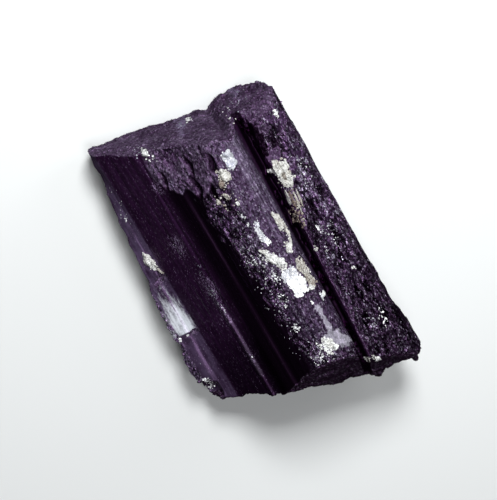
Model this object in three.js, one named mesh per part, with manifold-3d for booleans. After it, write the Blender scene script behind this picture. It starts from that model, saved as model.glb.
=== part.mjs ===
// A broken length of a black tourmaline (schorl) crystal, lying on its flattest prism face.
// It grew as one piece, so it is one solid. Its faces run along X and are fluted, as the
// striated faces of a tourmaline prism are, and both ends are breaks.
// +X runs from the square break to the sloping one, +Y towards the rough face, +Z is up.
// The origin is the middle of the outline, at the height of the face it lies on. Millimetres.

import * as THREE from "three";
import { mergeVertices } from "three/addons/utils/BufferGeometryUtils.js";
import Module from "manifold-3d";

const wasm = await Module();
wasm.setup();

// Driving dimensions of the whole crystal.
const STOCK_LENGTH = 60; // the prism before its ends break off
const STOCK_STEP = 1.5; // spacing of the rings of vertices along the prism
const RIDGE_HEIGHT = 18.4; // highest line, above the face it lies on
const LEDGE_INNER_Y = -11.25; // where the dark face meets the ledge
const LEDGE_HEIGHT = 6;
const RIB_HEIGHT = 0.4;
const GROOVE_LIP_HEIGHT = 16.1; // the rough face starts here, beside the ridge
const END_SWELL = 0.8; // how far the right side stands out at the sloping break
const GROOVE_SPREAD = 0.045; // how much wider the groove is, per millimetre towards the square break

// The section across the prism, anticlockwise seen from +X. Each entry is a corner and the
// flutes of the face that starts there: [y, z, number of flutes, their depth].
const SECTION = [
  [-8.4, 0, 0, 0], // the face it lies on
  [10.2, 0, 5, 0.16], // right side, under the overhang
  [13.8, 4.4, 3, 0.14],
  [14.75, 9.4, 3, 0.14],
  [13.9, 12.3, 3, 0.16], // rough face
  [11.6, 14.4, 3, 0.16],
  [9.2, 15.9, 2, 0.12],
  [8.6, GROOVE_LIP_HEIGHT, 0, 0], // groove beside the ridge
  [8.15, 14.8, 0, 0],
  [7.3, 14.5, 0, 0],
  [6.8, 17.4, 0, 0],
  [5.9, RIDGE_HEIGHT - 0.2, 4, 0.06], // top of the ridge
  [2.7, RIDGE_HEIGHT, 2, 0.06],
  [0.7, 17.8, 2, 0.14], // its crumbly shoulder
  [-0.95, 16.7, 2, 0.12],
  [-2.5, 14.3, 0, 0], // step at the top of the dark face
  [-3.2, 14.1, 5, 0.06],
  [-6.1, 10.9, 0, 0], // a thin rib on the dark face, towards the sloping break
  [-6.6, 11, 0, 0],
  [-6.9, 10.3, 6, 0.06],
  [LEDGE_INNER_Y, LEDGE_HEIGHT, 2, 0.1], // the ledge along the left side
  [-14.9, 5.1, 2, 0.16],
  [-13.8, 3.2, 3, 0.16],
];

// A number from -1 to 1 that is always the same for the same n, but has no pattern.
function scatter(n) {
  const s = Math.sin(n * 127.1 + 11.7) * 43758.5453;
  return 2 * (s - Math.floor(s)) - 1;
}

// Hummocks over a surface with coordinates a and b, from -1 to 1, about size millimetres across.
function hummocks(a, b, size) {
  const p = (a * 2 * Math.PI) / size;
  const q = (b * 2 * Math.PI) / size;
  const bent = Math.sin(p + 0.8 * Math.sin(q * 0.7 + 1));
  return (bent + Math.sin(q * 1.1 - 0.6 * p + 2) + Math.sin(0.5 * p + 1.3 * q)) / 3;
}

// A smooth bump of height 1 at the centre, gone at half its width either side.
function bump(value, centre, width) {
  const t = Math.abs(value - centre) / (width / 2);
  return t < 1 ? (1 + Math.cos(Math.PI * t)) / 2 : 0;
}

// The section as a closed outline. Flutes are V-grooves of uneven width between the corners.
function sectionShape() {
  const points = [];
  SECTION.forEach(([y, z, flutes, depth], i) => {
    const [nextY, nextZ] = SECTION[(i + 1) % SECTION.length];
    const along = new THREE.Vector2(nextY - y, nextZ - z);
    const inward = new THREE.Vector2(-along.y, along.x).normalize();
    points.push(new THREE.Vector2(y, z));
    for (let n = 1; n < 2 * flutes; n++) {
      const t = (n + 0.35 * scatter(i * 20 + n)) / (2 * flutes);
      const drop = n % 2 ? depth * (1 + 0.5 * scatter(i * 31 + n)) : 0;
      points.push(new THREE.Vector2(y, z).addScaledVector(along, t).addScaledVector(inward, drop));
    }
  });
  return new THREE.Shape(points);
}

// How far the ledge still reaches out at x, as a share of its full width: it narrows towards
// the square break, and pieces have gone from its edge.
function ledgeReach(x) {
  const taper = THREE.MathUtils.clamp(THREE.MathUtils.mapLinear(x, -22.5, 4, 0.14, 1), 0.14, 1);
  const nicks = 0.12 * bump(x, -18.6, 3.4) + 0.2 * bump(x, -2.6, 1.8) + 0.1 * bump(x, 7.4, 2.2);
  const swell = 0.1 * THREE.MathUtils.smoothstep(x, 7.5, 10);
  return taper - nicks + swell + 0.05 * scatter(Math.round(x / STOCK_STEP));
}

// Moves one vertex of the prism: the ledge is cut back, the groove spreads, and the rough face
// and the right side are uneven. The face it lies on stays flat.
function weather(p) {
  const onLedge = p.y < LEDGE_INNER_Y && p.z > 2;
  if (onLedge) p.y = LEDGE_INNER_Y + (p.y - LEDGE_INNER_Y) * ledgeReach(p.x);
  const besideRidge = THREE.MathUtils.smoothstep(p.y, 6.9, 7.7) * THREE.MathUtils.smoothstep(-p.y, -11, -8);
  if (p.z > 14) p.y -= GROOVE_SPREAD * p.x * besideRidge;
  const onRib = Math.abs(p.y + 6.6) < 0.1 && p.z > 10;
  if (onRib) p.z -= RIB_HEIGHT * THREE.MathUtils.smoothstep(-p.x, -5, 0);
  const aboveRib = Math.abs(p.y + 6.1) < 0.1 && p.z > 10;
  if (aboveRib) p.z += 0.5 * RIB_HEIGHT * THREE.MathUtils.smoothstep(-p.x, -5, 0);
  const onRoughFace = p.y > 8.5 && p.z > 9;
  if (onRoughFace) p.z -= 0.35 * (1 + hummocks(p.x, p.y, 7)) * 0.5;
  const onRightSide = p.y > 10.5 && p.z < 9 && p.z > 0.5;
  if (onRightSide) p.y -= 0.3 * (1 + hummocks(p.x, p.z, 9));
  const towardsRight = THREE.MathUtils.smoothstep(p.y, 9, 13) * THREE.MathUtils.smoothstep(p.z, 1, 5);
  p.y += END_SWELL * towardsRight * THREE.MathUtils.smoothstep(p.x, 7, 21);
}

// A closed geometry as a solid, and back.
function solidOf(geometry) {
  const bare = geometry.clone();
  bare.deleteAttribute("normal");
  bare.deleteAttribute("uv");
  const merged = mergeVertices(bare, 1e-4);
  const mesh = new wasm.Mesh({
    numProp: 3,
    vertProperties: new Float32Array(merged.attributes.position.array),
    triVerts: new Uint32Array(merged.index.array),
  });
  return new wasm.Manifold(mesh);
}

function geometryOf(solid) {
  const mesh = solid.getMesh();
  const geometry = new THREE.BufferGeometry();
  geometry.setAttribute("position", new THREE.BufferAttribute(mesh.vertProperties, 3));
  geometry.setIndex(new THREE.BufferAttribute(mesh.triVerts, 1));
  return geometry;
}

function moveVertices(geometry, move) {
  const position = geometry.attributes.position;
  const p = new THREE.Vector3();
  for (let i = 0; i < position.count; i++) {
    p.fromBufferAttribute(position, i);
    move(p);
    position.setXYZ(i, p.x, p.y, p.z);
  }
  return geometry;
}

// The fluted prism, longer than the crystal, with its section in Y and Z.
function prism() {
  const stock = new THREE.ExtrudeGeometry(sectionShape(), {
    depth: STOCK_LENGTH,
    steps: STOCK_LENGTH / STOCK_STEP,
    bevelEnabled: false,
  });
  const alongX = new THREE.Matrix4().makeBasis(
    new THREE.Vector3(0, 1, 0),
    new THREE.Vector3(0, 0, 1),
    new THREE.Vector3(1, 0, 0),
  );
  stock.applyMatrix4(alongX).translate(-STOCK_LENGTH / 2, 0, 0);
  return solidOf(moveVertices(stock, weather));
}

// The square break: nearly at right angles to the prism and hackly, with a step under the ridge
// up to a knob on the right, whose corner is gone.
function squareBreak(y, z) {
  const main = -20.75 + 0.19 * y + 0.6 * bump(y, 5.4, 2.4) - 0.5 * THREE.MathUtils.smoothstep(-y, 8, 13);
  const knob = -20 - 0.03 * (y - 7) + 0.9 * Math.max(0, y + z - 24);
  const lean = 0.1 * z;
  const surface = THREE.MathUtils.lerp(main, knob, THREE.MathUtils.smoothstep(y, 5.6, 6.6));
  return surface + lean + 0.3 * hummocks(y, z, 8) + 0.16 * scatter(y * 7 + z * 13);
}

// The sloping break: a wall that runs back towards the ledge, undercut at its foot, below a
// steep slope that takes off the end of the ridge. Two splinters stand out on the right.
function slopingBreak(y, z) {
  const wall = 24.45 + (y < 8.3 ? 0.37 : -0.1) * (y - 8.3) - 0.22 * Math.max(0, 6 - z);
  const swell = 0.9 * bump(y, 2.2, 4.5) + 1.1 * THREE.MathUtils.smoothstep(-y, 8, 12);
  const slope = 25 - 0.8 * (z - 9) + 0.25 * (y - 8);
  const splinters = 2 * bump(y, 8.4, 2.4) * bump(z, 8, 8) + 2.5 * bump(y, 13.8, 2.8) * bump(z, 8, 9);
  const hackle = 0.25 * hummocks(y, z, 7) + 0.16 * scatter(y * 11 + z * 5);
  return Math.min(wall + swell + splinters, slope) + hackle;
}

// What is left between the two breaks: a block with their surfaces as its ends.
function betweenBreaks() {
  const width = 36;
  const height = 24;
  const block = new THREE.BoxGeometry(STOCK_LENGTH - 4, width, height, 1, 26, 17);
  block.translate(0, 0, height / 2 - 2);
  return solidOf(
    moveVertices(block, (p) => {
      const { y, z } = p;
      p.x = p.x < 0 ? squareBreak(y, z) : slopingBreak(y, z);
    }),
  );
}

// A shallow shell-shaped flake, taken out of the surface at (x, y, z). The normal says which
// way the surface faces there, and the flake is radius across its chord and depth deep.
function flake(x, y, z, normal, radius, depth) {
  const ball = (radius * radius + depth * depth) / (2 * depth);
  const centre = new THREE.Vector3(...normal).setLength(ball - depth).add(new THREE.Vector3(x, y, z));
  return solidOf(new THREE.IcosahedronGeometry(ball, 12).translate(centre.x, centre.y, centre.z));
}

// A narrow box, turned about Z, that cuts a crack or a step across the ledge.
function crack(x, y, z, length, width, depth, turn) {
  const slot = new THREE.BoxGeometry(width, length, depth);
  return solidOf(slot.rotateZ(turn).translate(x, y, z));
}

const cuts = [
  flake(-17.4, -2.4, 15.4, [-0.2, -0.62, 0.75], 8.2, 1.35), // shoulder beside the square break
  flake(-13.6, 10.2, 15.4, [0, 0.5, 1], 3, 1.1), // pocket at the top of the groove
  flake(15.2, -14, 5.1, [0.6, -0.6, 1], 1.7, 0.8), // shell at the end of the ledge
  flake(-4, 13.6, 2.6, [0, 1, -0.7], 4.5, 0.9), // two on the edge below the rough face
  flake(13, 14.2, 6, [0.2, 1, -0.1], 3.4, 0.6),
  crack(-1.9, -13.8, LEDGE_HEIGHT + 0.1, 6, 0.7, 1.7, 0.35),
  crack(6.9, -13.8, LEDGE_HEIGHT, 6, 0.5, 1.1, 0.2),
];

let solid = prism().intersect(betweenBreaks());
cuts.forEach((cut) => {
  solid = solid.subtract(cut);
});

// The outline's middle goes to the origin, with the face it lies on at Z 0.
const geometry = geometryOf(solid);
geometry.computeBoundingBox();
const middle = geometry.boundingBox.getCenter(new THREE.Vector3());
geometry.translate(-middle.x, -middle.y, -geometry.boundingBox.min.z);
geometry.computeVertexNormals();

const schorl = new THREE.MeshStandardMaterial({ color: 0x1d1424, roughness: 0.35, metalness: 0 });
const crystal = new THREE.Mesh(geometry, schorl);
crystal.name = "crystal";

const tourmaline = new THREE.Group();
tourmaline.add(crystal);

export default tourmaline;
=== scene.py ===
# A broken length of black tourmaline, lying on its flattest face, with the mica and feldspar
# that grew on it. The sections go from the crystal to what grew on it, then to the studio.
import bmesh
import bpy
import math
import random
import numpy as np
from mathutils import Matrix, Vector, noise
from mathutils.bvhtree import BVHTree


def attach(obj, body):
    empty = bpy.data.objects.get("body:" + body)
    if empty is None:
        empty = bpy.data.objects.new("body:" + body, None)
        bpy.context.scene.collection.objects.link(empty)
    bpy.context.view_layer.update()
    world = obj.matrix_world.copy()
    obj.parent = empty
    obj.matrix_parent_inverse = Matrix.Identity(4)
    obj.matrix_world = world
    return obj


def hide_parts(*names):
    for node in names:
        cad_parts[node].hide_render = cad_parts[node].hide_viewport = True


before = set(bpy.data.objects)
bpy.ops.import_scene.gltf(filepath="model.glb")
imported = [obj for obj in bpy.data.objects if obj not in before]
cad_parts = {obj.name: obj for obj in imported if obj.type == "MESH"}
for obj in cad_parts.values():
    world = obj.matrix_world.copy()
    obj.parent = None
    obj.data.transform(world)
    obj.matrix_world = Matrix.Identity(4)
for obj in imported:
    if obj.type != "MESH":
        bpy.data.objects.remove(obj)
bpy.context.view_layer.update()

# ---------------------------------------------------------------------------------------------
# The crystal's body. It is one crystal of schorl: prism faces striated along their length, two
# hackly breaks, a spalled shoulder, a crumbly edge to the ridge and a coarse right-hand face.
# It starts as a copy of the CAD solid, remeshed finely enough for its grain to be real shape.
# ---------------------------------------------------------------------------------------------
MM = 0.001
GRAIN = 0.165  # spacing of the fine mesh, in millimetres
CRYSTAL_TRIANGLES = 192000

# Where things are on the crystal, in millimetres along X, across Y and up Z.
RIDGE_TOP_LEFT = 2.6  # the smooth top of the ridge starts here, beside its crumbly edge
GROOVE_Y = 7.6  # the middle of the groove at X 0
GROOVE_SLANT = 0.034  # it runs off towards +Y at the square break
RIGHT_EDGE_Z = 9.3
KNOB_Y = 5.9
SPALL_CENTRE = (-23.89, -17.58, 33.69)  # the ball whose surface the spalled shoulder follows
SPALL_BALL = 25.58
GROOVE_DEPTH = 0.7
DEEPEST = 0.75  # nowhere does the grain go further in than this, in millimetres
HIGHEST = 0.3  # nor further out than this

# Gouges in the shoulder and beside it: x, y, length along X, width, depth.
GOUGES = [
    (-18.0, -0.7, 4.2, 1.0, 0.55),
    (-15.2, -1.2, 4.0, 1.3, 0.6),
    (-17.2, 2.1, 3.8, 1.3, 0.45),
    (-17.4, -4.5, 3.6, 0.9, 0.4),
    (-13.7, 0.5, 3.4, 1.0, 0.35),
]


def ease(value, low, high):
    """0 below low, 1 above high, and a smooth rise between them."""
    t = np.clip((value - low) / (high - low), 0, 1)
    return t * t * (3 - 2 * t)


def flow(points, size, along=1.0, seed=0.0, depth=2):
    """Smooth unevenness from -1 to 1 of features of that size, drawn out along X."""
    shift = Vector((seed * 7.3, seed * 3.1, seed * 5.7))
    rate = Vector((1 / (size * along), 1 / size, 1 / size))
    return np.array([noise.fractal(Vector(p) * rate + shift, 0.9, 2.1, depth) for p in points])


def chips(points, size, along=1.0, seed=0.0):
    """Height from about -1 to 1 of a surface of flat chips of that size, each leaning its own way."""
    shift = Vector((seed * 9.1, seed * 4.7, seed * 2.3))
    rate = Vector((1 / (size * along), 1 / size, 1 / size))
    height = np.empty(len(points))
    for i, p in enumerate(points):
        q = Vector(p) * rate + shift
        middle = noise.voronoi(q)[1][0]
        lean = noise.cell_vector(middle * 37) * 2 - Vector((1, 1, 1))
        height[i] = lean.dot(q - middle) * 1.3 + lean.z * 0.35
    return height


def regions(points, normals):
    """How much of each kind of surface there is at each point, from 0 to 1."""
    x, y, z = points.T
    nx, ny, nz = normals.T
    wander = flow(points * [1, 1, 0.3], 2.2, 1.6, seed=3)
    jagged = flow(points * [1, 1, 0.3], 0.9, 1.8, seed=23)
    under = ease(-nz, 0.6, 0.9)
    breaks = ease(np.abs(nx), 0.14, 0.34) * (1 - under)
    off_ball = np.abs(np.linalg.norm(points - SPALL_CENTRE, axis=1) - SPALL_BALL)
    spall = ease(-off_ball, -0.5, -0.2) * ease(-x, 9, 11) * ease(z, 11, 12) * ease(ny, 0.3, -0.1)
    spall = spall * (1 - breaks)
    prism = (1 - breaks) * (1 - spall)
    calm = ease(x, 2.8, 5.2) * ease(-x, -11, -9.5)
    strip_edge = RIDGE_TOP_LEFT + 1.1 * wander - 1.2 * calm
    strip_foot = 0.09 * x - 0.9 + 0.7 * wander + 0.9 * jagged
    crumbly = ease(y - strip_foot, -0.5, 0.9) * ease(strip_edge - y, 0, 1.4)
    crumbly = crumbly * ease(x, -15, -11.5) * ease(nz, 0.1, 0.35)
    end_of_ridge = ease(x, 13.5, 15) * ease(y, -0.5, 1) * ease(-y, -7, -6.4)
    crumbly = np.maximum(crumbly, 0.8 * end_of_ridge) * prism
    upper_right = ease(z, RIGHT_EDGE_Z - 1.5, RIGHT_EDGE_Z) * ease(ny + nz, 0.3, 0.7)
    past_groove = y + GROOVE_SLANT * x - GROOVE_Y
    rough = ease(past_groove + 0.7 * jagged, -0.1, 0.3) * upper_right * ease(-z, -16.4, -15.4) * prism
    groove = ease(-np.abs(past_groove), -0.5, -0.05) * ease(z, 13, 14) * ease(-z, -16.2, -15.6)
    groove = groove * prism * (1 - rough)
    flank = ease(y, 8, 10) * ease(-z, -RIGHT_EDGE_Z - 0.5, -RIGHT_EDGE_Z + 1.5) * prism
    rim = ease(-y, 14.0, 14.6) * ease(z, 1.5, 3) * ease(-z, -5.8, -5.2) * prism
    ridge = ease(y, -0.5, 1.5) * ease(-y, -7.2, -6.8) * ease(z, 15.5, 16.5) * prism * (1 - crumbly)
    kinds = {"break": breaks, "spall": spall, "crumbly": crumbly, "rough": rough}
    return kinds | {"flank": flank, "rim": rim, "ridge": ridge, "groove": groove, "under": under}


crystal = bpy.data.objects.new("fluted_crystal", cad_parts["crystal"].data.copy())
bpy.context.collection.objects.link(crystal)
solid = bmesh.new()
solid.from_mesh(crystal.data)
bmesh.ops.remove_doubles(solid, verts=solid.verts, dist=1e-6)
solid.to_mesh(crystal.data)
solid.free()


def settle(piece):
    """Makes what the piece's modifiers give its mesh, with no modifier left on it."""
    graph = bpy.context.evaluated_depsgraph_get()
    mesh = bpy.data.meshes.new_from_object(piece.evaluated_get(graph))
    piece.modifiers.clear()
    piece.data = mesh
    return mesh


remesh = crystal.modifiers.new("fine grain", "REMESH")
remesh.mode = "VOXEL"
remesh.voxel_size = GRAIN * MM
settle(crystal)


def places(mesh):
    """The mesh's points and their normals, as arrays, points in millimetres."""
    points = np.empty(len(mesh.vertices) * 3)
    mesh.vertices.foreach_get("co", points)
    normals = np.empty(len(mesh.vertices) * 3)
    mesh.vertices.foreach_get("normal", normals)
    return points.reshape(-1, 3) / MM, normals.reshape(-1, 3)


points, normals = places(crystal.data)
kinds = regions(points, normals)
x, y, z = points.T
relief = np.zeros(len(points))


def shape_up(amount, height):
    """Adds a height to the relief where there is any of that kind of surface."""
    here = amount > 0.01
    relief[here] += amount[here] * height(points[here])


def striations(p):
    """Long, shallow flutes that hardly change along X."""
    return 0.07 * flow(p, 0.9, 30, seed=1) + 0.035 * flow(p, 0.4, 40, seed=2)


def fine_break(p):
    return 0.09 * chips(p, 1.9, seed=4) + 0.06 * chips(p, 0.7, seed=5) + 0.04 * flow(p, 0.35, seed=6)


def coarse_break(p):
    """Chips that are bigger and steeper."""
    return 0.22 * chips(p, 2.3, seed=4) + 0.1 * chips(p, 0.9, seed=5)


def shoulder(p):
    """The grain of a break, with grooves that run down it along the prism."""
    furrow = ease(flow(p, 1.4, 4, seed=7), 0.15, 0.7)
    return 0.12 * chips(p, 1.2, 2.4, seed=8) - 0.24 * furrow + 0.06 * chips(p, 0.4, 1.5, seed=9)


def crumbs(p):
    """Pits and chips in rows along the prism."""
    pits = ease(flow(p, 0.8, 2.4, seed=10), 0.05, 0.5)
    return 0.17 * chips(p, 0.8, 1.8, seed=11) + 0.1 * chips(p, 0.42, 1.3, seed=12) - 0.22 * pits


def worn_top(p):
    """Shallow pits and scratches."""
    pits = ease(flow(p, 0.6, 1.8, seed=21), 0.3, 0.65)
    return 0.03 * chips(p, 0.5, 2.5, seed=22) - 0.12 * pits


def welts(p):
    """Winding welts and hollows along the prism, chipped all over."""
    ridges = 1 - np.abs(flow(p, 1.2, 3.4, seed=13)) * 2.4
    hollows = ease(flow(p, 1.6, 3, seed=14), 0.05, 0.5)
    chipped = 0.13 * chips(p, 0.8, 2.2, seed=15) + 0.07 * chips(p, 0.4, 1.6, seed=16)
    return 0.2 * ridges - 0.5 * hollows + chipped


def side_grain(p):
    return 0.06 * flow(p, 1.6, 2.5, seed=17) + 0.05 * chips(p, 0.8, 2, seed=18)


def rim_chips(p):
    return 0.14 * chips(p, 0.9, 1.2, seed=19) + 0.08 * chips(p, 0.4, seed=20)


def any_of(*names):
    """How much there is of whichever of these kinds there is most of."""
    return np.maximum.reduce([kinds[name] for name in names])


near_right_edge = ease(y, 12.4, 13.8)
coarse = np.maximum(ease(y, KNOB_Y, KNOB_Y + 0.8), ease(x, 0, 2))
ledge_top = ease(-y, 11, 12) * ease(-z, -7, -6)
striated = 1 - any_of("break", "spall", "crumbly", "rough", "under")
shape_up(striated * ((1 - 0.5 * kinds["ridge"]) * (1 - 0.75 * ledge_top)), striations)
shape_up(kinds["break"], fine_break)
shape_up(kinds["break"] * coarse, coarse_break)
shape_up(kinds["spall"], shoulder)
shape_up(kinds["crumbly"], crumbs)
shape_up(kinds["ridge"], worn_top)
shape_up(kinds["rough"] * (1 - 0.75 * near_right_edge), welts)
shape_up(kinds["groove"], lambda p: np.full(len(p), -GROOVE_DEPTH))
shape_up(kinds["flank"], side_grain)
shape_up(kinds["rim"], rim_chips)
ledge_corner = ease(-x, 20, 21.5) * ease(-y, 12.5, 14)
shape_up(ledge_corner, lambda p: 2.2 * rim_chips(p))
kinds["gouge"] = np.zeros(len(points))
for gouge_x, gouge_y, length, width, depth in GOUGES:
    within = np.hypot((x - gouge_x) / length, (y - gouge_y - 0.12 * np.sin(2 * x)) / width) * 2
    hollow = ease(-within, -1, -0.45) * (z > 10)
    relief -= depth * hollow
    kinds["gouge"] = np.maximum(kinds["gouge"], hollow)

points += normals * np.clip(relief, -DEEPEST, HIGHEST)[:, None]
points[:, 2] = np.maximum(points[:, 2], 0)
crystal.data.vertices.foreach_set("co", (points * MM).ravel())
crystal.data.update()

# What the finish needs to know about each place is kept with the mesh as it is thinned out.
kinds["chipped"] = any_of("break", "spall", "crumbly", "rough", "rim")
for name in ("break", "spall", "crumbly", "rough", "flank", "rim", "ridge", "gouge", "chipped"):
    crystal.data.attributes.new("is_" + name, "FLOAT", "POINT").data.foreach_set("value", kinds[name])
crystal.data.attributes.new("relief", "FLOAT", "POINT").data.foreach_set("value", relief)

crystal.data.calc_loop_triangles()
thin = crystal.modifiers.new("thin out", "DECIMATE")
thin.ratio = min(1, CRYSTAL_TRIANGLES / len(crystal.data.loop_triangles))
settle(crystal)

# Chips are flat and the prism faces are smooth.
chipped = np.empty(len(crystal.data.vertices))
crystal.data.attributes["is_chipped"].data.foreach_get("value", chipped)
corners = np.array([polygon.vertices[0] for polygon in crystal.data.polygons])
crystal.data.polygons.foreach_set("use_smooth", chipped[corners] < 0.5)


class Wire:
    """What one socket of a finish gives, for sums with numbers and with other wires."""

    def __init__(self, finish, socket):
        self.finish = finish
        self.socket = socket

    def maths(self, operation, a, b):
        return self.finish.node("ShaderNodeMath", {"operation": operation}, {0: a, 1: b})

    def __add__(self, other):
        return self.maths("ADD", self, other)

    def __sub__(self, other):
        return self.maths("SUBTRACT", self, other)

    def __rsub__(self, other):
        return self.maths("SUBTRACT", other, self)

    def __mul__(self, other):
        return self.maths("MULTIPLY", self, other)

    __radd__ = __add__
    __rmul__ = __mul__

    def within(self, start, end, blur=0.3):
        """1 between start and end, 0 outside them."""
        return self.above(start, start + blur) * (1 - self.above(end - blur, end))

    def above(self, low, high):
        """0 where this is below low, 1 where it is above high."""
        ends = {"Value": self, "From Min": low, "From Max": high}
        return self.finish.node("ShaderNodeMapRange", {"interpolation_type": "SMOOTHSTEP"}, ends)


RAGGED = (2.4, 1.6, 0)  # how far the edges of patches wander, in millimetres


class Finish:
    """A material and its nodes."""

    def __init__(self, name):
        self.material = bpy.data.materials.new(name)
        self.material.use_nodes = True
        self.tree = self.material.node_tree
        self.tree.nodes.clear()
        place = self.node("ShaderNodeTexCoord", out="Object")
        self.mm = self.node("ShaderNodeVectorMath", {"operation": "SCALE"}, {0: place, "Scale": 1 / MM})
        self.x, self.y, self.z = (
            self.node("ShaderNodeSeparateXYZ", {}, {0: self.mm}, out=axis) for axis in "XYZ"
        )
        self.wandering = None  # the place in millimetres, moved about for ragged edges

    def node(self, kind, settings=None, sockets=None, out=0, stops=None):
        made = self.tree.nodes.new(kind)
        for name, value in (settings or {}).items():
            setattr(made, name, value)
        if stops:
            ramp = made.color_ramp.elements
            while len(ramp) < len(stops):
                ramp.new(0.5)
            for element, (position, colour) in zip(ramp, stops):
                element.position = position
                element.color = (*colour, 1)
        for name, value in (sockets or {}).items():
            if isinstance(value, Wire):
                self.tree.links.new(value.socket, made.inputs[name])
            else:
                made.inputs[name].default_value = value
        return Wire(self, made.outputs[out]) if made.outputs else None

    def mask(self, name):
        return self.node("ShaderNodeAttribute", {"attribute_name": name}, out="Fac")

    def along(self, stretch, seed=0.0):
        """The place in millimetres, with features drawn out that many times along X."""
        where = {"Vector": self.mm, "Location": (seed, seed, seed), "Scale": (1 / stretch, 1, 1)}
        return self.node("ShaderNodeMapping", {}, where)

    def cloud(self, size, detail=3.0, stretch=1.0, seed=0.0):
        """Smooth noise of that size in millimetres, from 0 to 1."""
        where = {"Vector": self.along(stretch, seed), "Scale": 1 / size, "Detail": detail, "Roughness": 0.6}
        return self.node("ShaderNodeTexNoise", {}, where)

    def cells(self, size, out, stretch=1.0, seed=0.0):
        """Grains of that size in millimetres: Distance from their middles, or a Color for each."""
        where = {"Vector": self.along(stretch, seed), "Scale": 1 / size}
        return self.node("ShaderNodeTexVoronoi", {}, where, out=out)

    def flecks(self, size, more, stretch=1.0, seed=0.0):
        """1 on separate ragged flecks of about that size: a few where more is 0, most places at 0.3."""
        return (self.cloud(size, 2, stretch, seed) + more).above(0.70, 0.76)

    def pepper(self, size, stretch=1.0, seed=0.0):
        """A number from 0 to 1 picked at random for each grain of that size."""
        return self.node("ShaderNodeSeparateColor", {}, {0: self.cells(size, "Color", stretch, seed)})

    def patch(self, x, y, length, width, turn=0.0):
        """1 at the middle of an oval patch seen from above, 0 at its edge. turn is in degrees."""
        if not self.wandering:
            where = {"Vector": self.mm, "Scale": 1.1, "Detail": 4.0}
            drift = self.node("ShaderNodeTexNoise", {}, where, out="Color")
            moved = {0: drift, 1: RAGGED, 2: self.mm}
            self.wandering = self.node("ShaderNodeVectorMath", {"operation": "MULTIPLY_ADD"}, moved)
        oval = {
            "Vector": self.wandering,
            "Location": (x + RAGGED[0] / 2, y + RAGGED[1] / 2, 0),
            "Rotation": (0, 0, math.radians(turn)),
            "Scale": (length / 2, width / 2, 1e4),
        }
        shrunk = self.node("ShaderNodeMapping", {"vector_type": "TEXTURE"}, oval)
        out = self.node("ShaderNodeVectorMath", {"operation": "LENGTH"}, {0: shrunk}, out="Value")
        return self.node("ShaderNodeMath", {"operation": "SUBTRACT", "use_clamp": True}, {0: 1, 1: out})

    def tint(self, amount, first, second):
        """One colour over another."""
        layers = {"Factor": amount, 6: first, 7: second}
        return self.node("ShaderNodeMix", {"data_type": "RGBA"}, layers, out=2)

    def lean(self, strength, *sizes, stretch=1.0):
        """The surface's normal, tipped at random in each grain of these sizes."""
        normal = self.node("ShaderNodeNewGeometry", out="Normal")
        for size in sizes:
            pick = self.cells(size, "Color", stretch)
            half = {0: pick, 1: (0.5, 0.5, 0.5)}
            centred = self.node("ShaderNodeVectorMath", {"operation": "SUBTRACT"}, half)
            scaled = {0: centred, "Scale": strength}
            tipped = self.node("ShaderNodeVectorMath", {"operation": "SCALE"}, scaled)
            normal = self.node("ShaderNodeVectorMath", {"operation": "ADD"}, {0: normal, 1: tipped})
        return self.node("ShaderNodeVectorMath", {"operation": "NORMALIZE"}, {0: normal})

    def bump(self, height, distance, normal=None):
        sockets = {"Height": height, "Distance": distance * MM, "Strength": 1.0}
        if normal:
            sockets["Normal"] = normal
        return self.node("ShaderNodeBump", {}, sockets)

    def close(self, **sockets):
        """Feeds these to the shader, whose sockets are named with spaces for underscores."""
        named = {name.replace("_", " "): value for name, value in sockets.items()}
        shader = self.node("ShaderNodeBsdfPrincipled", {}, named)
        self.node("ShaderNodeOutputMaterial", {}, {"Surface": shader})
        return self.material


PRISM_BLACK = (0.0080, 0.0010, 0.0098, 1)
PRISM_BLOOM = (0.023, 0.0070, 0.029, 1)
SHADE_BLACK = (0.0056, 0.0008, 0.0060, 1)
FAINT_DUST = (0.26, 0.19, 0.32, 1)
RIDGE_DARK = (0.006, 0.002, 0.009, 1)
RIDGE_PALE = (0.044, 0.032, 0.060, 1)
RIDGE_BAND = (0.130, 0.110, 0.165, 1)
BREAK_DARK = (0.020, 0.008, 0.026, 1)
BREAK_PALE = (0.118, 0.090, 0.147, 1)
FAR_BREAK_SHADE = (0.0065, 0.0012, 0.0065, 1)
ROUGH_DARK = (0.006, 0.002, 0.007, 1)
ROUGH_PALE = (0.078, 0.040, 0.106, 1)
FACET_HIGHLIGHT_GREY = (0.150, 0.122, 0.205, 1)
DUST_AND_GLINTS = (0.46, 0.42, 0.54, 1)
FILM = (0.30, 0.295, 0.345, 1)
LEDGE_FILM = (0.20, 0.165, 0.28, 1)
LEDGE_HIGHLIGHT = (0.66, 0.70, 0.76, 1)
FROST_AND_GLINTS = (0.56, 0.55, 0.68, 1)

schorl = Finish("schorl")
broken = (schorl.mask("is_break") + schorl.mask("is_spall")).above(0.1, 0.9)
crumbly = schorl.mask("is_crumbly") + schorl.mask("is_rim")
rough = schorl.mask("is_rough") + schorl.mask("is_flank") * 0.6
worked = (broken + crumbly + rough).above(0.1, 0.9)
ridge = schorl.mask("is_ridge")
raised = schorl.mask("relief").above(-0.28, 0.12)
streaks = schorl.cloud(0.35, 4, 25)
lines = schorl.cloud(0.2, 3, 50, seed=3)
patches = schorl.cloud(3.5, 4, 1.8, seed=5)
mottle = schorl.cloud(1.3, 5, seed=2)
grain = schorl.cloud(0.3, 5, seed=9)
clumps = schorl.cloud(1.8, 4, 1.6, seed=12).above(0.42, 0.66)
far_end = schorl.x.above(7.5, 14.5)

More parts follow.
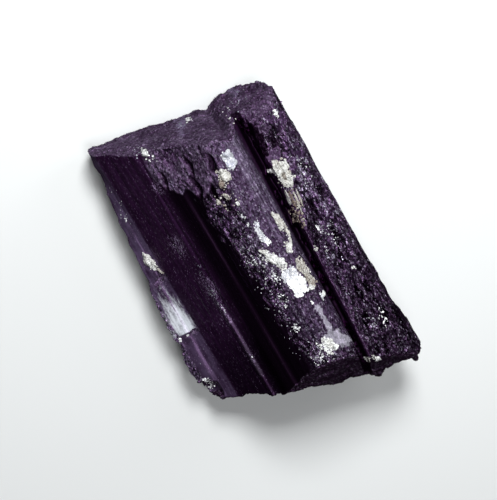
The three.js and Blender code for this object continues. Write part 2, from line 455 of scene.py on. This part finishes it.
# The striated faces are black with a faint purple bloom. The top of the ridge is paler and worn,
# with a striated band along its right edge from the square break to half way.
bloomed = (streaks * 0.2 + patches * 0.4 + mottle * 0.4 + grain * 0.4).above(0.52, 0.88)
bloomed = bloomed * (1 - schorl.x.above(5, 15) * 0.7)
shaded_band = schorl.y.within(-6.0, 2.5, 1.9) * (1 - worked) * (1 - ridge)
colour = schorl.tint(bloomed, PRISM_BLACK, PRISM_BLOOM)
dusty = (
    schorl.patch(-16.8, -5.6, 4.0, 3.0)
    + schorl.patch(-8.2, -7.4, 6.0, 3.0)
    + schorl.patch(-1.0, -6.5, 8.0, 2.8)
    + schorl.patch(4.0, -6.6, 4.0, 1.4)
    + schorl.patch(10.9, -6.6, 4.0, 1.6)
).above(0, 0.8)
colour = schorl.tint(schorl.flecks(0.16, dusty * 0.12 + 0.06, 1.3, seed=21) * 0.7, colour, FAINT_DUST)
# Painted shade: the band below the crumbly edge of the ridge is painted pitch black.
colour = schorl.tint(shaded_band * 0.9, colour, SHADE_BLACK)
pepper = schorl.pepper(0.2, 1.3) * 0.6 + schorl.pepper(0.34, 1.6, seed=3) * 0.4
worn = (mottle * 0.6 + grain * 0.8 + pepper - schorl.x.above(1, 6) * 0.15).above(0.95, 1.55)
colour = schorl.tint(ridge, colour, schorl.tint(worn, RIDGE_DARK, RIDGE_PALE))
band = ridge * schorl.y.within(4.6, 7.0, 0.5) * (1 - schorl.x.above(-8, 0)) * lines.above(0.4, 0.65)
colour = schorl.tint(band * (0.4 + grain * 0.6), colour, RIDGE_BAND)
# Painted shade: the groove beside the ridge, the hollow beyond it at the square break and the gouges are
# painted pitch black.
slanted = schorl.y + schorl.x * GROOVE_SLANT + grain * 0.5 - 0.25
groove = (
    slanted.within(GROOVE_Y - 0.8, GROOVE_Y + 0.6, 0.2) * (1 - ridge)
    + schorl.patch(-16.4, 8.8, 6.4, 2.6).above(0, 0.3) * (1 - ridge)
    + schorl.mask("is_gouge") * 0.7
)
groove = groove.above(0, 1) * schorl.z.above(10, 12)

# Broken and chipped ground is paler where it stands up and painted darker in its hollows, a painted shade.
# The rough face is painted darker towards the lower end, also a painted shade.
blotches = schorl.cloud(2.0, 4, seed=15).above(0.36, 0.56) * 0.65 + 0.35
broken_pale = (mottle * 0.6 + grain * 0.5 + pepper * 0.35).above(0.45, 1.05)
broken_pale = broken_pale * (1 - schorl.y.above(5.5, 7.5) * 0.4)
break_colour = schorl.tint(broken_pale * raised * blotches, BREAK_DARK, BREAK_PALE)
# Painted shade: the break at the far end is painted near black.
break_colour = schorl.tint(far_end, break_colour, FAR_BREAK_SHADE)
rough_pale = (mottle * 0.6 + grain * 0.5 + pepper * 0.4).above(0.55, 1.1)
rough_pale = rough_pale * raised * (1 - schorl.x.above(-6, 14) * 0.8)
rough_colour = schorl.tint(rough_pale, ROUGH_DARK, ROUGH_PALE)
colour = schorl.tint((rough + crumbly).above(0.2, 0.8), colour, rough_colour)
colour = schorl.tint(broken, colour, break_colour)
# Painted highlight: blue-grey patches where facets of the breaks catch the light.
facet_highlight = (
    schorl.patch(-14.0, -2.7, 4.2, 1.9, 4)
    + schorl.patch(-16.7, -3.8, 1.6, 0.7)
    + schorl.patch(-21.7, 9.8, 1.6, 1.9) * 1.2
)
facet_highlight = facet_highlight.above(0, 0.4) + schorl.patch(-21.6, 1.4, 1.2, 2.6).above(0, 0.4)
facet_highlight = facet_highlight * broken * (grain * 0.6 + mottle * 0.5).above(0.35, 0.75)
colour = schorl.tint(facet_highlight, colour, FACET_HIGHLIGHT_GREY)
# Painted shade: the groove and the gouges are painted pitch black.
colour = schorl.tint(groove * 0.92, colour, SHADE_BLACK)

# A pale film clings in a stroke down the ridge to a broad foot at its end, and on the ledge. Along the rib
# a thin tint of the film is a painted highlight of the lit rib, and the silvery shine on the ledge between
# the cracks is a painted highlight too.
stray = schorl.y + mottle * 1.4 + grain * 0.5 - schorl.x * 0.03
stroke = stray.within(5.15, 6.0, 0.25) * schorl.x.within(6.2, 11, 0.8)
foot = schorl.patch(12.1, 5.1, 4.6, 2.3, 42).above(0.0, 0.2)
smear = (stroke + foot).above(0, 0.8) * (grain * 0.6 + mottle * 0.6).above(0.3, 0.6)
colour = schorl.tint(smear * schorl.z.above(15, 16) * 0.9, colour, FILM)
lit_rib = schorl.y.within(-6.95, -6.0, 0.3) * schorl.x.within(3, 14.4, 1.2)
lit_rib = lit_rib * (streaks * 0.5 + grain * 0.6).above(0.38, 0.78)
colour = schorl.tint(lit_rib * 0.14, colour, FILM)
on_ledge = schorl.y.within(-15.8, -11.0) * schorl.z.within(3.6, 7) * (1 - broken)
thin_film = on_ledge * (streaks * 0.6 + mottle * 0.5).above(0.3, 0.8) * (0.32 - schorl.x.above(4, 8) * 0.1)
colour = schorl.tint(thin_film, colour, LEDGE_FILM)
fibres = schorl.cloud(0.4, 5, 5, seed=6)
middle = schorl.y.within(-14.4, -11.2, 0.9)
ledge_highlight = (schorl.x.above(-6, 3) * 0.55 + middle * 0.25 + fibres * 0.9 + grain * 0.4).above(1.08, 1.55)
ledge_highlight = ledge_highlight * on_ledge * schorl.x.within(-4.3, 4.7, 0.2)
colour = schorl.tint(ledge_highlight, colour, LEDGE_HIGHLIGHT)

# Scraps of mica and grains of dust too thin to stand up, and white specks that are painted glints: thickest
# in clumps on the crumbly edge and the rough face, and around the patches on the ridge.
near_patches = schorl.patch(-3.5, 2.2, 17, 5.4, 6).above(0, 0.6)
near_patches = near_patches + schorl.patch(12.9, 2.6, 7, 5.2).above(0, 0.6)
more = (
    crumbly * (clumps * 0.07 + 0.02)
    + rough * (clumps * 0.12 + 0.025) * (1 - schorl.x.above(3, 11) * 0.5)
    + near_patches * 0.06
    + ridge * 0.05
    + broken * 0.02
)
more = (more - 0.05 + clumps * 0.02) * (1 - groove) - groove * 0.2 - far_end * broken * 0.1
more = more - shaded_band * 0.03
colour = schorl.tint(schorl.flecks(0.42, more * 1.1 - 0.01, 2.4, seed=14) * 0.55, colour, FROST_AND_GLINTS)
colour = schorl.tint(schorl.flecks(0.26, more, 1.9, seed=4) * 0.7, colour, FROST_AND_GLINTS)
salt = schorl.pepper(0.16, 1.6, seed=5).above(0.86, 0.95) * (1 - groove)
colour = schorl.tint(salt * (ridge * 0.26 + rough * 0.34 + crumbly * 0.34 + broken * 0.2), colour, DUST_AND_GLINTS)
colour = schorl.tint(schorl.flecks(0.15, more + 0.03, 1.6, seed=7) * 0.45, colour, DUST_AND_GLINTS)

# Painted shade: the hollows, the groove, the band under the ridge, the lower part of the dark face, the far
# end's break and parts of the ridge and rough face are made metallic over their near-black colour, which
# takes their shine away.
hollows = (rough + crumbly) * (1 - raised) * (0.6 + schorl.x.above(0, 12) * 0.3) + far_end * broken * 0.35
shaded = schorl.x.above(2, 12) * schorl.y.within(-11.5, -4, 1) * 0.6
dulled = ridge * 0.42 + rough * schorl.x.above(-8, 6) * 0.35
painted_shade = (groove * 0.85 + shaded_band * 0.7 + hollows + shaded + dulled).above(0, 1.1)
roughness = 0.27 + streaks * 0.1 + ridge * 0.14 + broken * 0.24 + painted_shade * 0.1 + lit_rib * 0.35
facets = schorl.lean(1.3, 0.36, 0.18, stretch=1.6)
plain = schorl.node("ShaderNodeNewGeometry", out="Normal")
sparkle = (crumbly + rough + broken * (0.5 - far_end * 0.35) + ridge * 0.36 + 0.04).above(0.0, 1.0)
either = {"Factor": sparkle, 4: plain, 5: facets}
tipped = schorl.node("ShaderNodeMix", {"data_type": "VECTOR"}, either, out=1)
fine = streaks * (1 - worked) * 0.4 + grain * (0.25 + worked * 0.5 + ridge * 0.6) + band * 0.4
crystal.data.materials.clear()
crystal.data.materials.append(
    schorl.close(
        Base_Color=colour,
        Roughness=roughness,
        Metallic=painted_shade,
        IOR=1.64,
        Specular_IOR_Level=0.5,
        Specular_Tint=(0.84, 0.50, 1.0, 1.0),
        Normal=schorl.bump(fine, 0.06, tipped),
    )
)
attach(crystal, "root")
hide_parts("crystal")

# ---------------------------------------------------------------------------------------------
# Feldspar crust: cream to brownish lumps, cracked and sugary, that grew over the ridge, the
# rough face and the ledge in patches, with loose cleaved grains around and on them.
# ---------------------------------------------------------------------------------------------
OVER_ALL = 0.03  # a height above the whole crystal, in metres
LOWEST_GROWTH = 0.003  # nothing has grown lower on it than this
CRUST_PITS = (0.10, 0.075, 0.07, 1)
CRUST_TONES = [  # from brown-black in the cracks to white
    (0.10, (0.050, 0.032, 0.030)),
    (0.30, (0.210, 0.160, 0.135)),
    (0.45, (0.390, 0.372, 0.335)),
    (0.62, (0.580, 0.585, 0.560)),
    (0.85, (0.800, 0.830, 0.820)),
]
dice = random.Random(11)
ground = BVHTree.FromPolygons(
    [v.co for v in crystal.data.vertices], [p.vertices for p in crystal.data.polygons], epsilon=0
)


def landing(x, y):
    """The place on the crystal straight below (x, y) in millimetres and its normal, or nothing."""
    hit, normal, _, _ = ground.ray_cast(Vector((x * MM, y * MM, OVER_ALL)), Vector((0, 0, -1)))
    return (hit, normal) if hit and hit.z > LOWEST_GROWTH else None


def around(x, y, a, b, length, width, turn):
    """The place at (a, b) in a patch's own oval, which runs from -1 to 1. turn is in degrees."""
    c, s = math.cos(math.radians(turn)), math.sin(math.radians(turn))
    px, py = a * length / 2, b * width / 2
    return x + c * px - s * py, y + s * px + c * py


def spots(x, y, length, width, turn, count):
    """Places in a patch with a ragged outline, and how far out each is. turn is in degrees."""
    found = []
    while len(found) < count:
        a, b = dice.uniform(-1, 1), dice.uniform(-1, 1)
        ragged = 0.88 + 0.34 * noise.noise(Vector((a * 2.2 + x, b * 2.2 + y, 0.5)))
        within = (a**4 + b**4) ** 0.25 / ragged
        if within <= 1:
            found.append((*around(x, y, a, b, length, width, turn), within))
    return found


def set_down(target, proto, hit, normal, size, tilt, lift=0.0):
    """Sets a copy of a small mesh on the surface, turned at random and leaning up to tilt.

    lift is how far its foot is above the surface, in millimetres."""
    lean = Vector([dice.uniform(-tilt, tilt) for _ in range(3)])
    stand = (normal + lean).normalized().to_track_quat("Z", "Y").to_matrix().to_4x4()
    spin = Matrix.Rotation(dice.uniform(0, 2 * math.pi), 4, "Z")
    scale = Matrix.Diagonal((*(s * MM for s in size), 1))
    place = Matrix.Translation(hit + normal * lift * MM) @ stand @ spin @ scale
    copy = proto.copy()
    copy.transform(place)
    target.from_mesh(copy)
    bpy.data.meshes.remove(copy)


def grown_piece(name, shape, tones):
    """The piece made of that shape, with a tone from 0 to 1 kept for each of its faces."""
    piece = bpy.data.objects.new(name, bpy.data.meshes.new(name))
    bpy.context.collection.objects.link(piece)
    shape.to_mesh(piece.data)
    shape.free()
    piece.data.attributes.new("tone", "FLOAT", "FACE").data.foreach_set("value", tones)
    return piece


def cleaved_grain(seed):
    """A blunt, uneven block one unit across, as one mesh to be set down many times."""
    block = bmesh.new()
    bmesh.ops.create_cube(block, size=0.9)
    bmesh.ops.bevel(
        block, geom=block.edges[:], offset=0.12, segments=1, profile=0.5, affect="EDGES", material=-1
    )
    for corner in block.verts:
        corner.co *= 1 + 0.5 * noise.noise(corner.co * 1.5 + Vector((seed * 5.1, 0, 0)))
    mesh = bpy.data.meshes.new("grain")
    block.to_mesh(mesh)
    block.free()
    return mesh


def lump(x, y, length, width, turn, height, grain, detail):
    """A cracked lump that follows the ground under it, as a mesh in place."""
    ball = bmesh.new()
    bmesh.ops.create_icosphere(ball, subdivisions=detail, radius=1)
    for corner in ball.verts:
        a, b, c = corner.co
        out = math.hypot(a, b)
        bearing = Vector((a / max(out, 0.01) * 1.3 + x, b / max(out, 0.01) * 1.3 + y, 0))
        reach = 1 + 0.4 * noise.noise(bearing) + 0.18 * noise.noise(bearing * 3)
        px, py = around(x, y, a * reach, b * reach, length, width, turn)
        landed = landing(px, py) or landing(x, y)
        near, far = noise.voronoi(Vector((px * 0.6, py, x)) / grain)[0][:2]
        crack = 0.35 * max(0, 1 - (far - near) * 4)
        spot = Vector((px, py, 3))
        swell = 0.75 + 0.5 * noise.noise(spot * 1.4) + 0.25 * noise.noise(spot * 5)
        rise = height * math.sqrt(max(c, 0)) * (swell - crack) if c > 0 else 0.35 * c
        corner.co = landed[0] + Vector((0, 0, rise * MM))
    mesh = bpy.data.meshes.new("lump")
    ball.to_mesh(mesh)
    ball.free()
    return mesh


# Each lump: x, y, length, width in millimetres, turn in degrees, height, grain, tone from 0,
# brown, to 1, white, and the fineness of its mesh.
LUMPS = [
    (-11.6, 9.8, 2.6, 2.0, 4, 0.75, 0.7, 0.75, 5),  # the big patch on the rough face
    (-9.9, 9.8, 2.3, 1.9, -8, 0.7, 0.6, 0.68, 5),
    (-10.4, 9.7, 1.5, 0.7, 6, 0.85, 0.3, 0.35, 4),
    (-7.7, 8.7, 2.4, 0.36, -6, 0.4, 0.4, 0.75, 4),  # streaks beyond it
    (-7.2, 9.15, 2.4, 0.34, -6, 0.3, 0.4, 0.18, 4),
    (-6.7, 9.6, 2.8, 0.34, -8, 0.4, 0.4, 0.55, 4),
    (-6.8, 10.1, 2.2, 0.32, -6, 0.35, 0.4, 0.4, 4),
    (-15.2, 2.9, 2.0, 1.3, 8, 0.5, 0.6, 0.62, 4),
    (-14.3, 1.9, 1.2, 0.7, -20, 0.3, 0.4, 0.25, 4),
    (-12.3, 0.4, 0.8, 0.5, 0, 0.2, 0.4, 0.45, 3),
    (-12.5, 1.7, 1.1, 0.6, 20, 0.25, 0.4, 0.55, 4),
    (-11.0, 2.5, 0.7, 0.5, 0, 0.2, 0.4, 0.85, 3),
    (-6.1, 6.05, 2.7, 0.9, 5, 0.4, 0.6, 0.6, 4),
    (-4.1, 6.4, 1.2, 0.4, -4, 0.2, 0.3, 0.7, 3),
    (-3.0, 6.1, 1.4, 0.4, -14, 0.2, 0.3, 0.75, 3),
    (-2.2, 5.4, 1.3, 0.8, -30, 0.25, 0.3, 0.75, 3),
    (-3.5, 2.3, 1.5, 0.6, 33, 0.3, 0.4, 0.8, 4),
    (-2.0, 3.0, 2.2, 1.2, 30, 0.5, 0.6, 0.85, 4),
    (-1.2, 3.8, 1.1, 0.8, 20, 0.45, 0.5, 0.9, 4),
    (0.8, 5.65, 2.6, 1.2, 4, 0.4, 0.35, 0.5, 5),  # smooth and brownish
    (2.9, 5.75, 2.4, 1.1, 4, 0.4, 0.3, 0.42, 5),
    (3.9, 5.5, 1.0, 0.9, 0, 0.45, 0.5, 0.9, 4),
    (5.8, 6.5, 0.8, 0.6, 0, 0.35, 0.4, 0.95, 3),
    (12.1, 3.8, 1.6, 1.1, 30, 0.35, 0.4, 0.8, 4),
    (13.0, 4.4, 0.8, 0.7, 0, 0.4, 0.5, 1.0, 3),
    (-7.2, -12.15, 2.8, 1.2, 8, 0.55, 0.9, 0.8, 4),  # on the ledge
    (-5.2, -11.5, 1.4, 0.4, 20, 0.3, 0.5, 0.5, 3),
    (18.9, 8.7, 1.1, 0.8, 30, 0.4, 0.5, 1.0, 3),
    (18.3, 7.4, 0.8, 0.5, 0, 0.25, 0.4, 0.6, 3),
    (-21.8, -4.8, 0.9, 0.9, 0, 0.4, 0.9, 1.1, 4),
    (-11.8, 8.4, 0.7, 0.6, 0, 0.4, 0.4, 1.0, 3),
]

# Loose grains: x, y, length, width, turn, how many, their size and tone.
GRAINS = [
    (-10.8, 9.8, 4.2, 2.5, 0, 90, 0.28, 0.6),
    (-7.0, 9.4, 3.4, 1.9, -5, 46, 0.2, 0.3),
    (-4.4, 8.6, 3.0, 1.6, -5, 70, 0.22, 0.2),
    (-15.0, 2.6, 2.6, 1.7, 10, 60, 0.24, 0.5),
    (-12.0, 1.4, 3.2, 2.8, 30, 24, 0.2, 0.5),
    (-6.0, 6.0, 3.2, 1.0, 6, 40, 0.22, 0.6),
    (-2.4, 5.4, 1.8, 0.8, 0, 30, 0.22, 0.8),
    (-4.2, 6.3, 3.4, 0.6, -6, 50, 0.18, 0.7),
    (-2.0, 2.9, 4.6, 1.6, 32, 90, 0.24, 0.85),
    (2.0, 5.9, 5.4, 1.1, 4, 60, 0.24, 0.5),
    (12.4, 3.6, 3.4, 2.0, 30, 110, 0.24, 0.85),
    (-7.0, -12.1, 3.2, 1.4, 8, 40, 0.22, 0.7),
    (18.3, 8.0, 2.0, 1.6, 30, 18, 0.24, 0.7),
    (-21.6, -4.8, 2.4, 2.2, 0, 5, 0.22, 0.9),
    (0.3, 8.6, 0.8, 0.5, 0, 9, 0.26, 0.6),
    (6.1, 12.0, 0.7, 0.5, 0, 8, 0.26, 0.8),
    (-17.7, 12.9, 1.2, 0.6, 0, 14, 0.28, 1.0),
    (-20.4, 7.4, 1.6, 1.4, 0, 9, 0.2, 0.75),
]
crust = bmesh.new()
tones = []
for px, py, length, width, turn, height, grain_size, tone, detail in LUMPS:
    piled = lump(px, py, length, width, turn, height, grain_size, detail)
    crust.from_mesh(piled)
    tones += [tone] * len(piled.polygons)
blocks = [cleaved_grain(seed) for seed in range(5)]
for px, py, length, width, turn, count, size, tone in GRAINS:
    for gx, gy, _ in spots(px, py, length, width, turn, count):
        landed = landing(gx, gy)
        if not landed:
            continue
        across = size * dice.uniform(0.5, 1.5)
        shape = (across, across * dice.uniform(0.6, 1), across * dice.uniform(0.5, 0.9))
        block = dice.choice(blocks)
        set_down(crust, block, *landed, shape, 0.5)
        tones += [tone + dice.uniform(-0.2, 0.2)] * len(block.polygons)
feldspar = grown_piece("feldspar_crust", crust, tones)

cream = Finish("feldspar")
tone = cream.mask("tone") * 0.7
stain = cream.cloud(1.1, 5, 1.6, seed=3)
sugar = cream.node("ShaderNodeSeparateColor", {}, {0: cream.cells(0.14, "Color")})
pitted = cream.cloud(0.3, 4, 1.8, seed=8).above(0.36, 0.56)
lightness = tone + stain * 0.75 + sugar * 0.14 - 0.30
crust_colour = cream.node("ShaderNodeValToRGB", {}, {"Fac": lightness}, stops=CRUST_TONES)
feldspar.data.materials.append(
    cream.close(
        Base_Color=cream.tint((1 - pitted) * 0.35, crust_colour, CRUST_PITS),
        Roughness=0.42 + sugar * 0.3,
        IOR=1.53,
        Normal=cream.bump(cream.cloud(0.16, 4) + pitted * 0.4, 0.08, cream.lean(0.5, 0.2)),
    )
)
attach(feldspar, "root")

# ---------------------------------------------------------------------------------------------
# Mica: silvery six-sided plates, thin as foil, that lie on the crystal in books and patches, and
# as single flakes over its crumbly edge and rough face. They grew where they lie.
# ---------------------------------------------------------------------------------------------
PLATE_THICKNESS = (0.10, 0.16)  # of a plate one unit across
MICA_GREY = (0.17, 0.18, 0.25, 1)
MICA_WHITE = (0.90, 0.92, 0.93, 1)


def mica_plate(thickness):
    """A six-sided plate one unit across, as one mesh to be set down many times."""
    plate = bmesh.new()
    bmesh.ops.create_cone(plate, cap_ends=True, segments=6, radius1=0.5, radius2=0.5, depth=thickness)
    bmesh.ops.translate(plate, verts=plate.verts, vec=(0, 0, thickness / 2))
    mesh = bpy.data.meshes.new("plate")
    plate.to_mesh(mesh)
    plate.free()
    return mesh


# Each patch: x, y, length, width in millimetres, turn in degrees, plates, their size, how far
# they lean, and their tone from 0, blue-grey, to 1, white.
MICA = [
    (-16.6, 4.4, 2.4, 1.3, 0, 70, 0.95, 0.08, 0.38),
    (-16.6, 4.4, 2.9, 1.7, 0, 50, 0.4, 0.25, 0.5),
    (-7.4, 3.4, 1.2, 0.7, 0, 20, 0.3, 0.25, 0.4),
    (-7.8, 2.3, 0.5, 0.4, 0, 7, 0.3, 0.3, 0.8),
    (-6.0, 3.1, 3.2, 0.9, 4, 110, 0.3, 0.25, 0.5),
    (-4.6, 3.4, 1.2, 0.8, 8, 44, 0.3, 0.25, 0.95),
    (-9.3, 2.2, 1.6, 0.5, 20, 14, 0.3, 0.25, 0.6),
    (2.8, 4.1, 3.3, 2.5, 8, 320, 0.5, 0.16, 0.9),  # the big white one
    (0.9, 3.75, 1.9, 2.4, 8, 170, 0.4, 0.25, 0.55),
    (2.0, 4.05, 4.8, 2.4, 8, 80, 0.26, 0.35, 0.75),
    (5.8, 6.1, 1.6, 0.35, 0, 16, 0.3, 0.2, 0.6),
    (5.9, 4.5, 0.6, 0.3, 0, 6, 0.3, 0.2, 1.0),
    (12.4, 3.4, 2.6, 1.8, 30, 50, 0.3, 0.4, 0.9),
    (13.2, 2.0, 3.0, 3.0, 0, 46, 0.24, 0.5, 0.8),
    (8.0, 1.0, 1.5, 1.1, 0, 26, 0.28, 0.4, 0.8),
    (-3.8, 0.2, 4.0, 1.6, 0, 26, 0.26, 0.5, 0.6),
    (-1.6, 1.4, 5.0, 2.0, 10, 36, 0.26, 0.5, 0.65),
    (0.6, 1.9, 2.0, 1.2, 0, 16, 0.26, 0.5, 0.8),
    (3.4, 1.4, 2.2, 1.4, 0, 22, 0.22, 0.5, 0.7),
    (4.6, 1.2, 0.7, 0.5, 0, 10, 0.24, 0.4, 0.8),
    (13.1, -13.9, 2.4, 1.1, 0, 34, 0.36, 0.5, 0.85),
    (5.1, -14.2, 0.5, 0.4, 0, 8, 0.35, 0.4, 1.0),
    (4.9, -12.9, 0.4, 0.3, 0, 4, 0.3, 0.3, 0.9),
    (-14.1, -12.0, 0.7, 0.3, 0, 6, 0.28, 0.3, 0.8),
    (-16.0, -11.8, 7.0, 1.4, -8, 16, 0.18, 0.4, 0.6),
    (-20.8, -4.4, 1.6, 1.2, 0, 14, 0.24, 0.5, 0.9),
    (-22.2, -5.6, 1.6, 1.2, 0, 14, 0.26, 0.3, 0.3),
    (-21.5, 2.5, 0.6, 1.2, 0, 16, 0.4, 0.3, 1.0),
    (-21.6, 1.2, 0.7, 1.6, 0, 14, 0.3, 0.2, 0.2),
    (-21.0, 8.6, 1.2, 3.0, 0, 12, 0.2, 0.3, 0.3),
    (-21.2, 10.6, 1.0, 1.4, 0, 8, 0.24, 0.3, 0.3),
    (14.4, 12.1, 2.8, 1.2, 0, 22, 0.28, 0.5, 0.85),
    (13.6, 10.4, 3.2, 1.4, 0, 20, 0.22, 0.4, 0.4),
    (-1.5, 10.4, 1.2, 0.6, 0, 14, 0.28, 0.4, 0.9),
    (1.2, 9.8, 1.0, 0.4, 0, 8, 0.24, 0.4, 0.8),
    (0.0, 11.4, 5.0, 2.2, 0, 40, 0.22, 0.5, 0.6),
    (-9.0, 12.6, 6.0, 2.0, 0, 30, 0.2, 0.5, 0.7),
    (-0.2, -6.6, 2.2, 1.2, 0, 26, 0.18, 0.4, 0.3),
    (1.9, -6.5, 1.4, 0.6, 0, 12, 0.17, 0.4, 0.35),
    (-4.2, -6.4, 2.4, 0.8, 0, 9, 0.15, 0.4, 0.2),
    (-8.0, -7.4, 2.6, 1.0, 0, 10, 0.16, 0.4, 0.25),
    (3.0, -6.35, 1.2, 0.4, 0, 8, 0.2, 0.4, 0.4),
    (10.9, -6.4, 1.0, 0.3, 0, 7, 0.2, 0.4, 0.5),
    (2.4, 0.3, 26.0, 4.0, 0, 90, 0.2, 0.5, 0.45),
]
books = bmesh.new()
tones = []
plates = [mica_plate(thickness) for thickness in PLATE_THICKNESS]
for px, py, length, width, turn, count, size, tilt, tone in MICA:
    for gx, gy, within in spots(px, py, length, width, turn, count):
        landed = landing(gx, gy)
        if not landed:
            continue
        across = size * dice.uniform(0.6, 1.5) * (1.15 - 0.6 * within)
        shape = (across, across * dice.uniform(0.6, 1), across)
        plate = dice.choice(plates)
        set_down(books, plate, *landed, shape, tilt, 0.12 * size * dice.random())
        tones += [tone + dice.uniform(-0.15, 0.15)] * len(plate.polygons)
mica = grown_piece("mica_plates", books, tones)

silver = Finish("mica")
sheen = (silver.mask("tone") * 0.8 + silver.cloud(0.6, 4, seed=2) * 0.5 - 0.1).above(0.1, 1.0)
mica.data.materials.append(
    silver.close(
        Base_Color=silver.tint(sheen, MICA_GREY, MICA_WHITE),
        Roughness=0.3 + sheen * 0.25,
        Metallic=0.3,
        IOR=1.58,
        Normal=silver.bump(silver.cloud(0.15, 3), 0.04, silver.lean(0.3, 0.25)),
    )
)
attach(mica, "root")

# ---------------------------------------------------------------------------------------------
# The studio: a pale round table top, a soft box over it, a key light from the square break's
# side, and a low soft box that the rough face mirrors. The dark face looks towards no light.
# ---------------------------------------------------------------------------------------------
TABLE_RADIUS = 0.16
TABLE_PALE = (0.72, 0.745, 0.745, 1)
TABLE_DIM = (0.02, 0.018, 0.02, 1)
ROOM_PALE = (0.93, 0.97, 0.965, 1)
ROOM_DIM = (0.014, 0.010, 0.016, 1)
table_top = bmesh.new()
bmesh.ops.create_circle(table_top, cap_ends=True, segments=96, radius=TABLE_RADIUS)
floor = bpy.data.objects.new("floor", bpy.data.meshes.new("floor"))
bpy.context.collection.objects.link(floor)
table_top.to_mesh(floor.data)
table_top.free()
paper = Finish("pale table")
seen = paper.node("ShaderNodeLightPath", out="Is Camera Ray")
pale_if_seen = paper.tint(seen, TABLE_DIM, TABLE_PALE)
floor.data.materials.append(paper.close(Base_Color=pale_if_seen, Roughness=0.9, Specular_IOR_Level=0.0))


MIDDLE = Vector((0, 0, 0.01))  # about the middle of the crystal


def soft_light(name, direction, distance, size, power):
    """A square soft light in that direction from the crystal, facing it. Metres and watts."""
    lamp = bpy.data.lights.new(name, "AREA")
    lamp.size = size
    lamp.energy = power
    made = bpy.data.objects.new(name, lamp)
    bpy.context.collection.objects.link(made)
    towards = Vector(direction).normalized()
    made.location = towards * distance + MIDDLE
    made.rotation_euler = towards.to_track_quat("Z", "Y").to_euler()


soft_light("key", (-0.62, 0.36, 0.80), 0.24, 0.08, 0.74)
soft_light("overhead", (0.12, 0.05, 1.0), 0.30, 0.12, 0.34)
soft_light("low", (-0.15, 0.90, 0.50), 0.24, 0.10, 0.12)

# The room is dim, like the table's bounce, and each is pale only where it is seen directly.
room = bpy.data.worlds.new("room")
bpy.context.scene.world = room
room.use_nodes = True
nodes = room.node_tree.nodes
seen = nodes.new("ShaderNodeLightPath")
pale = nodes.new("ShaderNodeBackground")
pale.inputs["Color"].default_value = ROOM_PALE
dim = nodes["Background"]
dim.inputs["Color"].default_value = ROOM_DIM
chosen = nodes.new("ShaderNodeMixShader")
links = room.node_tree.links
links.new(seen.outputs["Is Camera Ray"], chosen.inputs["Fac"])
links.new(dim.outputs["Background"], chosen.inputs[1])
links.new(pale.outputs["Background"], chosen.inputs[2])
links.new(chosen.outputs["Shader"], nodes["World Output"].inputs["Surface"])
bpy.context.scene.view_settings.view_transform = "Standard"

# The camera looks down on the crystal, a little from the square break's side, and is turned so
# that the ridge runs down to the right.
LEAN = math.radians(15)
TURN = math.radians(60)
DISTANCE = 0.2
LENS = 99
NEAREST = 0.01
LOOK_AT = Vector((-0.748, 2.233, 0)) * MM
ASIDE = 0.945 * MM
BELOW = 1.455 * MM
back = Vector((-math.sin(LEAN), 0, math.cos(LEAN)))
level = Vector((math.cos(LEAN), 0, math.sin(LEAN)))
right = math.cos(TURN) * level + math.sin(TURN) * Vector((0, 1, 0))
up = back.cross(right)
camera = bpy.data.objects.new("camera", bpy.data.cameras.new("camera"))
camera.data.lens = LENS
camera.data.clip_start = NEAREST
stand = LOOK_AT + back * DISTANCE - right * ASIDE - up * BELOW
camera.matrix_world = Matrix.Translation(stand) @ Matrix((right, up, back)).transposed().to_4x4()
bpy.context.collection.objects.link(camera)
bpy.context.scene.camera = camera
